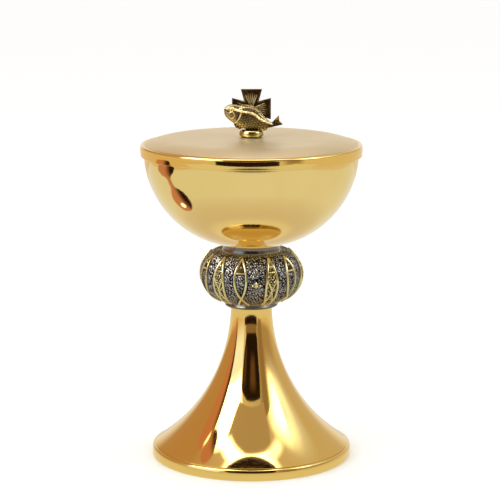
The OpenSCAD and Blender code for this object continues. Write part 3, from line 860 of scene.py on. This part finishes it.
def finial_fish():
    """A plump fish with scales, gill cover, eye, fins and a forked tail, in front of the cross."""
    back_y = -CROSS_T / 2
    # x, height above the cross's centre, half height and half thickness along the body, head first
    spine = bezier_chain([
        (-15.0, 0.2, 0.7, 0.7), (-13.4, -0.5, 3.2, 1.7), (-11.0, -1.5, 4.5, 2.5), (-7.5, -3.0, 5.3, 3.0),
        (-3.5, -4.5, 6.0, 3.3), (0.3, -5.6, 6.1, 3.1), (4.0, -7.0, 4.7, 2.5), (7.6, -8.2, 2.8, 1.7),
        (10.4, -8.8, 1.5, 1.1), (12.2, -8.6, 1.3, 0.8)], 190)
    rows, cols = len(spine), 110
    turn = np.linspace(0, 2 * math.pi, cols, endpoint=False)
    heading = np.arctan2(np.gradient(spine[:, 1]), np.gradient(spine[:, 0]))
    up = np.sin(turn)[None, :]
    out = np.cos(turn)[None, :]
    half, thick = spine[:, 2:3], spine[:, 3:4]
    along = np.append(0, np.cumsum(np.hypot(np.diff(spine[:, 0]), np.diff(spine[:, 1]))))[:, None]
    head_end = 8.2
    body = smoothstep(head_end, head_end + 0.5, along - 1.3 * (1 - up ** 2)) * smoothstep(27.0, 24.5, along)
    step = 1.5
    across = up * half / step
    row = along / step
    odd = np.floor(row) % 2 * 0.5
    du = row - np.floor(row)
    dv = np.abs((across + odd) % 1 - 0.5) * 2
    scale = np.clip(1 - np.hypot(du * 0.9, dv) / 1.15, 0, 1)
    scales = scale * 0.42
    gill = np.exp(-((along - 1.3 * (1 - up ** 2) - head_end) / 0.32) ** 2)
    eye_at, eye_up = 4.1, 1.5
    eye_far = np.hypot(along - eye_at, up * half - eye_up)
    eye = np.exp(-((eye_far - 0.95) / 0.25) ** 2) * 0.45 + 0.5 * smoothstep(0.62, 0.2, eye_far)
    mouth = np.exp(-((up * half + 0.4) / 0.22) ** 2) * smoothstep(3.4, 2.4, along)
    cheek = np.exp(-((np.hypot(along - 5.2, up * half + 1.4) - 1.7) / 0.25) ** 2) * smoothstep(3, 4, along) * (along < head_end)
    flat_x = spine[:, 0:1] - np.sin(heading)[:, None] * up * half
    flat_z = spine[:, 1:2] + np.cos(heading)[:, None] * up * half
    side_line = curve_ridge(flat_x, flat_z, [(-9.4, 0.0), (-5.0, -1.2), (-0.7, -2.0), (2.3, -3.3), (4.9, -5.5), (7.5, -6.8), (11.5, -8.3)], 0.42)
    back_line = curve_ridge(flat_x, flat_z, [(-6.5, 0.3), (-3.0, 0.7), (0.4, 0.3), (2.9, -0.9), (5.2, -3.6), (7.4, -5.6), (10.4, -7.4)], 0.3)
    lines = np.maximum(0.75 * side_line, 0.5 * back_line) * (out > 0)
    groove = np.maximum(side_line, back_line) < 0.3
    lift = body * scales * 0.6 * groove + lines + 0.55 * gill + eye + 0.25 * cheek - 0.6 * mouth
    profile = np.sign(out) * np.abs(out) ** 0.8
    off_up = up * (half + lift * np.abs(up) ** 2)
    off_out = profile * (thick + lift)
    x = spine[:, 0:1] - np.sin(heading)[:, None] * off_up
    z = spine[:, 1:2] + np.cos(heading)[:, None] * off_up + CROSS_Z
    y = back_y - 1.1 - off_out
    y = np.minimum(y, back_y + 0.25)
    points = np.stack([x, y, z], 2)
    faces = grid_quads(rows, cols, wrap_cols=True)
    faces.append(tuple(reversed(range(cols))))
    faces.append(tuple((rows - 1) * cols + j for j in range(cols)))
    patina_and_shade = np.clip(1.02 - lift * 2.4 + 0.9 * mouth - 0.3 * (along < head_end), 0, 1)
    shape = Shape("finial_fish")
    shape.add(points, faces, patina_and_shade.ravel())

    def fin(root_a, root_b, edge_points, ray_count, depth, thickness):
        """A fin between a root line and a curved edge, with raised rays."""
        edge = bezier_chain(edge_points, 41)
        root = np.linspace(root_a, root_b, 41)
        t = np.linspace(0, 1, 14)[:, None, None]
        flat = root + (edge - root) * t
        phase = np.linspace(0, 1, 41) * ray_count * 2 * math.pi
        ray = (0.5 + 0.5 * np.cos(phase))[None, :] * np.ones((14, 1))
        y0 = back_y - depth
        front = np.stack([flat[..., 0], y0 - thickness * (0.55 + 0.45 * ray), flat[..., 1] + CROSS_Z], 2)
        rear = np.stack([flat[..., 0], np.full(ray.shape, y0 + thickness * 0.4), flat[..., 1] + CROSS_Z], 2)
        shape.slab(front, rear, np.clip(0.7 - ray, 0, 1), 0.5)

    tail_root = ((11.2, -7.6), (11.3, -9.9))
    fin(*tail_root, [(15.3, -3.2), (15.4, -5.2), (15.6, -6.6), (16.6, -7.6), (17.4, -8.6)], 8, 1.3, 1.1)
    fin((-6.6, 1.6), (7.2, -6.2), [(-5.8, 2.6), (-2.0, 2.4), (2.0, 0.9), (5.2, -1.8), (7.9, -5.0)], 13, 1.0, 1.0)
    fin((-6.4, -8.0), (-3.4, -10.0), [(-9.9, -8.4), (-8.7, -10.1), (-6.6, -11.2)], 5, 1.5, 1.0)
    fin((3.4, -10.6), (7.4, -10.0), [(4.6, -12.3), (7.4, -12.0), (9.2, -11.0)], 6, 1.2, 0.9)
    return shape.make(45), pectoral_fin(back_y)


def pectoral_fin(back_y):
    """The fan-shaped fin behind the gill, with curved ridges."""
    shape = Shape("finial_fish_fin")
    root = np.array([-7.0, -4.4])
    rays = np.radians(np.linspace(-78, 12, 37))
    reach = np.linspace(0, 1, 22)[:, None]
    length = 4.9 * (0.9 + 0.1 * np.cos(np.linspace(-1, 1, 37) * 2))
    x = root[0] + reach * length * np.cos(rays)
    z = root[1] + reach * length * np.sin(rays)
    ridge = 0.5 + 0.5 * np.cos(reach * 4 * 2 * math.pi)
    fan = 0.5 + 0.5 * np.cos(np.linspace(0, 6 * 2 * math.pi, 37))
    crown = 3.5 + 0.5 * np.sin(reach * math.pi) - 0.9 * reach ** 2
    y = back_y - crown - 0.22 * ridge - 0.12 * fan
    front = np.stack([x, y, z + CROSS_Z], 2)
    rear = np.stack([x, np.broadcast_to(back_y - 1.8, x.shape), z + CROSS_Z], 2)
    shape.slab(front, rear, np.clip(1 - ridge * 1.1 + 0 * fan, 0, 1), 0.8)
    return shape.make(45)


# ---- stage ----

def make_camera():
    """Just over a metre in front, a little above the lid, looking 11 degrees down."""
    data = bpy.data.cameras.new("camera")
    data.lens = 140.93
    data.sensor_width = 36
    camera = bpy.data.objects.new("camera", data)
    camera.location = (-0.0008, -1.0833, 0.3282)
    camera.rotation_euler = (math.radians(90 - 10.98), 0, 0)
    bpy.context.collection.objects.link(camera)
    bpy.context.scene.camera = camera


def ramp(tree, value, lo, hi):
    """0 below lo, 1 above hi, and a smooth change between."""
    node = add_node(tree, "ShaderNodeMapRange", interpolation_type="SMOOTHSTEP")
    node.inputs["From Min"].default_value = lo
    node.inputs["From Max"].default_value = hi
    tree.links.new(value, node.inputs["Value"])
    return node.outputs["Result"]


def make_world():
    """Even pale light, as inside a photographer's light tent: white behind and above, warmer at the sides."""
    world = bpy.data.worlds.new("tent")
    bpy.context.scene.world = world
    world.use_nodes = True
    tree = world.node_tree
    way = add_node(tree, "ShaderNodeSeparateXYZ")
    tree.links.new(add_node(tree, "ShaderNodeTexCoord").outputs["Generated"], way.inputs["Vector"])
    x, y, z = (way.outputs[axis] for axis in "XYZ")
    right = mix_colours(tree, ramp(tree, z, 0.2, 0.7), (0.52, 0.40, 0.31), (0.68, 0.62, 0.57))
    right = mix_colours(tree, ramp(tree, y, -0.1, 0.5), right, (0.72, 0.63, 0.52))
    left = mix_colours(tree, ramp(tree, y, -0.6, 0.2), (0.88, 0.76, 0.66), (0.60, 0.38, 0.22))
    sides = mix_colours(tree, ramp(tree, x, -0.35, 0.35), left, right)
    around = mix_colours(tree, ramp(tree, y, 0.80, 0.97), sides, (0.98, 0.95, 0.92))
    below = mix_colours(tree, ramp(tree, x, -0.3, 0.3), (0.88, 0.70, 0.50), (0.88, 0.77, 0.62))
    upper = mix_colours(tree, ramp(tree, z, 0.75, 1.0), around, (0.78, 0.68, 0.60))
    mirrored = mix_colours(tree, ramp(tree, z, -0.10, -0.02), below, upper)
    glossy = add_node(tree, "ShaderNodeLightPath").outputs["Is Glossy Ray"]
    tree.links.new(mix_colours(tree, glossy, (1.15, 1.15, 1.145), mirrored), tree.nodes["Background"].inputs["Color"])


def make_floor():
    """A pale floor, and a smaller table top that the metal mirrors instead of it. The table top glows with painted
    light: warm and bright round the foot, then a painted shadow of the vessel that fades out by 0.24 m.
    """
    material, tree, shader = new_material("pale floor")
    shader.inputs["Base Color"].default_value = (0.88, 0.88, 0.875, 1)
    shader.inputs["Roughness"].default_value = 0.7
    shader.inputs["Specular IOR Level"].default_value = 0.2
    bpy.ops.mesh.primitive_plane_add(size=30)
    floor = bpy.context.object
    floor.name = "floor"
    floor.data.materials.append(material)
    floor.visible_glossy = False
    bpy.ops.mesh.primitive_plane_add(size=1.3)
    table = bpy.context.object
    table.name = "table"
    material = glow_material("table top", (1, 1, 1))
    tree = material.node_tree
    away = add_node(tree, "ShaderNodeVectorMath", operation="LENGTH")
    tree.links.new(add_node(tree, "ShaderNodeTexCoord").outputs["Object"], away.inputs[0])
    away = away.outputs["Value"]
    # Painted shadow of the vessel: darkest inside 0.10 m, fading to the even pale glow by 0.24 m.
    outer = mix_colours(tree, ramp(tree, away, 0.10, 0.24), (0.80, 0.73, 0.68), (0.91, 0.91, 0.88))
    # Painted light: warm and bright within 0.064 m, round the foot, over the painted shadow.
    colour = mix_colours(tree, ramp(tree, away, 0.064, 0.092), (0.92, 0.87, 0.76), outer)
    tree.links.new(colour, tree.nodes["Emission"].inputs["Color"])
    table.data.materials.append(material)
    mirrored_only(table)


def direction(azimuth, elevation):
    """Unit vector: azimuth 0 is the front (-Y), positive to the right; elevation above the table."""
    a, e = math.radians(azimuth), math.radians(elevation)
    return Vector((math.sin(a) * math.cos(e), -math.cos(a) * math.cos(e), math.sin(e)))


def softbox(name, azimuth, elevation, distance, width, height, radiance, colour=(1, 1, 1)):
    """A rectangular soft light that shines at the vessel's middle."""
    data = bpy.data.lights.new(name, "AREA")
    data.shape = "RECTANGLE"
    data.size, data.size_y = width, height
    data.energy = radiance * width * height * math.pi
    data.color = colour
    light = bpy.data.objects.new(name, data)
    aim = Vector((0, 0, 0.09))
    way = direction(azimuth, elevation)
    light.location = aim + way * distance
    light.rotation_euler = way.to_track_quat("Z", "Y").to_euler()
    bpy.context.collection.objects.link(light)
    light.visible_camera = False
    light.visible_diffuse = False
    return light


def glow_material(name, level, softness=None):
    """Light from a card's face, which fades out towards its edges if softness is given."""
    material = bpy.data.materials.new(name)
    material.use_nodes = True
    tree = material.node_tree
    tree.nodes.clear()
    glow = add_node(tree, "ShaderNodeEmission")
    glow.inputs["Color"].default_value = (*level, 1)
    glow.inputs["Strength"].default_value = 1
    end = add_node(tree, "ShaderNodeOutputMaterial")
    if softness is None:
        tree.links.new(glow.outputs["Emission"], end.inputs["Surface"])
        return material
    place_on = add_node(tree, "ShaderNodeSeparateXYZ")
    tree.links.new(add_node(tree, "ShaderNodeTexCoord").outputs["Object"], place_on.inputs["Vector"])
    cover = add_node(tree, "ShaderNodeMath", operation="MULTIPLY")
    for i, soft in enumerate(softness):
        size = add_node(tree, "ShaderNodeMath", operation="ABSOLUTE")
        tree.links.new(place_on.outputs["XY"[i]], size.inputs[0])
        tree.links.new(ramp(tree, size.outputs[0], 0.5, 0.5 - soft / 2), cover.inputs[i])
    blend = add_node(tree, "ShaderNodeMixShader")
    tree.links.new(cover.outputs[0], blend.inputs["Fac"])
    tree.links.new(add_node(tree, "ShaderNodeBsdfTransparent").outputs["BSDF"], blend.inputs[1])
    tree.links.new(glow.outputs["Emission"], blend.inputs[2])
    tree.links.new(blend.outputs["Shader"], end.inputs["Surface"])
    return material


def mirrored_only(piece):
    """A studio object that shows only in the polished metal."""
    for ray in ("camera", "diffuse", "transmission", "shadow"):
        setattr(piece, "visible_" + ray, False)


def card(name, azimuth, elevation, distance, width, height, level, softness=(0.02, 0.02)):
    """A flat card that faces the vessel's foot, width and height in degrees as seen from there."""
    bpy.ops.mesh.primitive_plane_add(size=1)
    piece = bpy.context.object
    piece.name = name
    way = direction(azimuth, elevation)
    piece.location = Vector((0, 0, 0.045)) + way * distance
    piece.rotation_euler = way.to_track_quat("Z", "Y").to_euler()
    span = [2 * distance * math.tan(math.radians(a) / 2) for a in (width, height)]
    piece.scale = (*span, 1)
    piece.data.materials.append(glow_material(name, level, softness))
    mirrored_only(piece)
    return piece


def patch(name, corners, distance, level):
    """A sharp-edged shape in the surroundings, its corners given as (azimuth, elevation) from the foot."""
    shape = Shape(name)
    middle = np.array([0, 0, 45])
    shape.add([np.array(direction(*c)) * distance / MM + middle for c in corners], [tuple(range(len(corners)))])
    piece = shape.make(0)
    piece.data.materials.append(glow_material(name, level))
    mirrored_only(piece)


def neighbour():
    """Another small vessel that stood at the left: only its reflections show. It has no lit surface: it glows, as
    painted light, dark at its front and red-brown behind, with a painted highlight on its side towards the vessel.
    """
    outline = np.array([
        (0.01, 68), (9, 70), (17, 75), (22.5, 83), (24, 93), (22, 102), (15, 111), (8, 117), (5, 124),
        (4.5, 136), (9, 142), (17, 147), (22, 153), (18, 158), (0.01, 159)], float)
    piece = spin("neighbour", outline, 64)
    piece.location = (-0.112, -0.020, 0)
    material, tree, shader = new_material("neighbour")
    # Its colour is glow, painted light: dark on its front, red-brown on its back.
    dark = add_node(tree, "ShaderNodeMapRange", interpolation_type="SMOOTHSTEP")
    side = add_node(tree, "ShaderNodeSeparateXYZ")
    tree.links.new(add_node(tree, "ShaderNodeTexCoord").outputs["Object"], side.inputs["Vector"])
    tree.links.new(side.outputs["Y"], dark.inputs["Value"])
    dark.inputs["From Min"].default_value = -0.014
    dark.inputs["From Max"].default_value = 0.0
    colour = mix_colours(tree, dark.outputs["Result"], (0.03, 0.008, 0.006), (0.68, 0.30, 0.21))
    # Painted highlight: a small bright spot of glow on the side towards the vessel.
    highlight_spot_distance = add_node(tree, "ShaderNodeVectorMath", operation="DISTANCE")
    tree.links.new(add_node(tree, "ShaderNodeTexCoord").outputs["Object"], highlight_spot_distance.inputs[0])
    highlight_spot_distance.inputs[1].default_value = (0.022, 0.001, 0.099)
    painted_highlight = add_node(tree, "ShaderNodeMapRange", interpolation_type="SMOOTHSTEP")
    painted_highlight.inputs["From Min"].default_value = 0.003
    painted_highlight.inputs["From Max"].default_value = 0.006
    tree.links.new(highlight_spot_distance.outputs["Value"], painted_highlight.inputs["Value"])
    colour = mix_colours(tree, painted_highlight.outputs["Result"], (3.0, 2.9, 2.7), colour)
    tree.links.new(colour, shader.inputs["Emission Color"])
    shader.inputs["Emission Strength"].default_value = 1
    shader.inputs["Base Color"].default_value = (0, 0, 0, 1)
    shader.inputs["Specular IOR Level"].default_value = 0
    piece.data.materials.append(material)
    mirrored_only(piece)


def mirrored_neck(material):
    """A plain gold neck that the bowl and the foot mirror in place of the grained knop."""
    waist = NECK_R - 0.8
    outline = rounded([(9, KNOP_Z0 - 4, 0), (waist, KNOP_Z0 - 4, 0), (waist, KNOP_Z1 - 7, 3), (COLLAR_R - 1.5, KNOP_Z1, 0),
                       (COLLAR_R - 1.5, BOWL_Z0 + 0.4, 0), (9, BOWL_Z0 + 0.4, 0)])
    piece = spin("mirrored_neck", outline, 96)
    piece.data.materials.append(material)
    mirrored_only(piece)


def shade_under_bowl():
    """The dark underside of the bowl, as the foot mirrors it: seen from outside the bowl only."""
    steps = 96
    side = arc(BOWL_C, BOWL_Z0 + BOWL_ARC, BOWL_ARC + 0.8, -42, -3, 12)
    turn = np.linspace(0, 2 * math.pi, steps, endpoint=False)
    rings = [np.column_stack([r * np.cos(turn), r * np.sin(turn), np.full(steps, z)]) for r, z in side]
    shape = Shape("shade_under_bowl")
    shape.add(np.concatenate(rings), grid_quads(len(side), steps, wrap_cols=True))
    piece = shape.make(0)
    material = glow_material("shade under bowl", (1, 1, 1))
    tree = material.node_tree
    height = add_node(tree, "ShaderNodeSeparateXYZ")
    tree.links.new(add_node(tree, "ShaderNodeTexCoord").outputs["Object"], height.inputs["Vector"])
    colour = mix_colours(tree, ramp(tree, height.outputs["Z"], 0.160, 0.170), (0.02, 0.009, 0.012), (0.34, 0.17, 0.11))
    tree.links.new(colour, tree.nodes["Emission"].inputs["Color"])
    blend = add_node(tree, "ShaderNodeMixShader")
    tree.links.new(add_node(tree, "ShaderNodeNewGeometry").outputs["Backfacing"], blend.inputs["Fac"])
    tree.links.new(tree.nodes["Emission"].outputs["Emission"], blend.inputs[1])
    tree.links.new(add_node(tree, "ShaderNodeBsdfTransparent").outputs["BSDF"], blend.inputs[2])
    tree.links.new(blend.outputs["Shader"], tree.nodes["Material Output"].inputs["Surface"])
    piece.data.materials.append(material)
    mirrored_only(piece)


def make_studio():
    make_world()
    make_floor()
    for light in (softbox("key_left", -57, 38, 1.3, 0.8, 1.0, 0.9), softbox("fill_right", 79, 42, 1.3, 0.6, 0.6, 0.8),
                  softbox("top", 0, 97, 1.2, 1.4, 0.5, 0.9)):
        light.visible_glossy = False
        light.visible_diffuse = True
    card("box_left", -57, 43, 1.45, 44, 54, (8.5, 8.4, 8.2), (0.3, 0.25))
    card("box_left_glow", -56, 18, 1.46, 46, 50, (1.25, 1.5, 2.3), (0.3, 0.8))
    card("box_left_top", -70, 72, 1.30, 16, 22, (7.0, 6.9, 6.6), (0.6, 0.4))
    card("box_right_top", 74, 69, 1.30, 14, 22, (3.0, 3.1, 3.6), (1.0, 0.8))
    card("box_right", 75, 41, 1.45, 54, 46, (7.0, 6.9, 6.8), (1.0, 0.9))
    card("box_right_glow", 84, 38, 1.46, 68, 62, (1.25, 1.5, 2.2), (1.0, 1.0))
    ceiling = card("ceiling", 0, 90, 1.3, 37, 27, (5.0, 5.0, 5.6), (0.35, 0.15))
    ceiling.location.y = 0.10
    patch("room_front", [(-32, 37), (-14, 45.5), (0, 46.5), (27, 43), (29, 30), (27, 8), (22, 3.5), (-24, 4), (-31, 16)],
          1.35, (0.02, 0.010, 0.008))
    card("room_glow", 5, 29, 1.0, 24, 28, (0.15, 0.08, 0.045), (0.8, 0.7))
    card("room_left", -23, 24, 1.0, 12, 30, (0.10, 0.05, 0.028), (0.8, 0.6))
    patch("tent_front", [(-65, 61), (-61, 66), (-57, 70), (-50, 75), (-40, 78), (-20, 80), (0, 80.3), (25, 79.5), (38, 78),
                         (46, 76), (54, 72), (57, 68), (54, 65), (49, 61), (44, 56), (39, 50), (36, 44), (-34, 44),
                         (-42, 48), (-50, 53), (-58, 58)], 1.42, (0.55, 0.44, 0.36))
    patch("room_sill", [(-28, 4.8), (24, 4.8), (24, -0.2), (-28, -0.2)], 1.345, (0.32, 0.22, 0.14))
    card("tent_right", 43, 24, 1.40, 32, 84, (0.36, 0.26, 0.17), (0.8, 0.5))
    patch("room_floor", [(-36, 0), (28, 0), (28, -30), (-36, -30)], 1.355, (0.022, 0.009, 0.014))
    shade_under_bowl()
    neighbour()


# ---- everything together ----

PIECES = []


def place(piece, body, slot, material, *nodes, mirrored=True):
    """Gives a piece its body and material and hides the CAD nodes that it stands for; slot is not used."""
    piece.visible_glossy = mirrored
    piece.data.materials.append(material)
    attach(piece, body)
    if nodes:
        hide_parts(*nodes)
    PIECES.append(piece)


def build():
    look = make_materials()
    gold, silver, brass = look["polished_gold"], look["polished_silver"], look["plain_brass"]
    mirrored_neck(gold)
    place(spin("foot", foot_outline(), 320), "vessel", "polished_gold", look["foot_gold"], "foot_shell")
    place(spin("base_rim", band_outline(), 320), "vessel", "polished_gold", gold, "base_band")
    place(spin("bowl", bowl_outline(), 320), "vessel", "polished_gold", look["bowl_gold"], "bowl_shell")
    place(spin("lid", lid_outline(), 360), "lid", "lid_gold", look["lid_gold"], "lid_shell")
    neck_ring, foot_ring = spin("neck_ring", upper_collar_outline()), spin("foot_ring", lower_collar_outline())
    place(neck_ring, "vessel", "polished_silver", silver, "upper_collar", mirrored=False)
    place(foot_ring, "vessel", "polished_silver", silver, "lower_collar", mirrored=False)
    place(spin("bead", bead_outline(), 160), "lid", "polished_gold", look["bead_gold"], "finial_bead")
    place(spin("boss", boss_outline(), 120), "vessel", "plain_brass", brass, "bowl_boss")
    place(knop_body(), "vessel", "oxidised_silver", look["oxidised_silver"], "knop_body", mirrored=False)
    for i, (angle, detailed) in enumerate(fish_turns()):
        name = f"knop_fish_{i + 1:02d}"
        fish = knop_fish(name + "_relief", detailed, angle)
        place(fish, "vessel", "relief_gold", look["relief_gold"], name, mirrored=False)
    place(knop_sprigs(), "vessel", "relief_gold", look["relief_gold"], "knop_sprigs", mirrored=False)
    place(finial_cross(), "lid", "relief_gold", look["old_gold"], "finial_cross")
    fish, fin = finial_fish()
    place(fish, "lid", "relief_gold", look["old_gold"], "finial_fish")
    place(fin, "lid", "relief_gold", look["old_gold"])
    place(threaded_rod("lid_stud", "finial_stud", 0.7), "lid", "plain_brass", brass, "finial_stud")
    place(spin("lid_washer", washer_outline("finial_washer", 2.15), 96), "lid", "plain_brass", brass, "finial_washer")
    place(hex_nut("lid_nut", "finial_nut", 2.05), "lid", "plain_brass", brass, "finial_nut")
    steel = look["steel"]
    place(threaded_rod("rod", "tie_rod", 1.0), "vessel", "steel", steel, "tie_rod")
    place(spin("rod_washer", washer_outline("tie_washer", 3.3), 96), "vessel", "steel", steel, "tie_washer")
    place(hex_nut("rod_nut", "tie_nut", 3.05), "vessel", "steel", steel, "tie_nut")


make_camera()
make_studio()
build()
bpy.context.scene.view_settings.view_transform = "Standard"
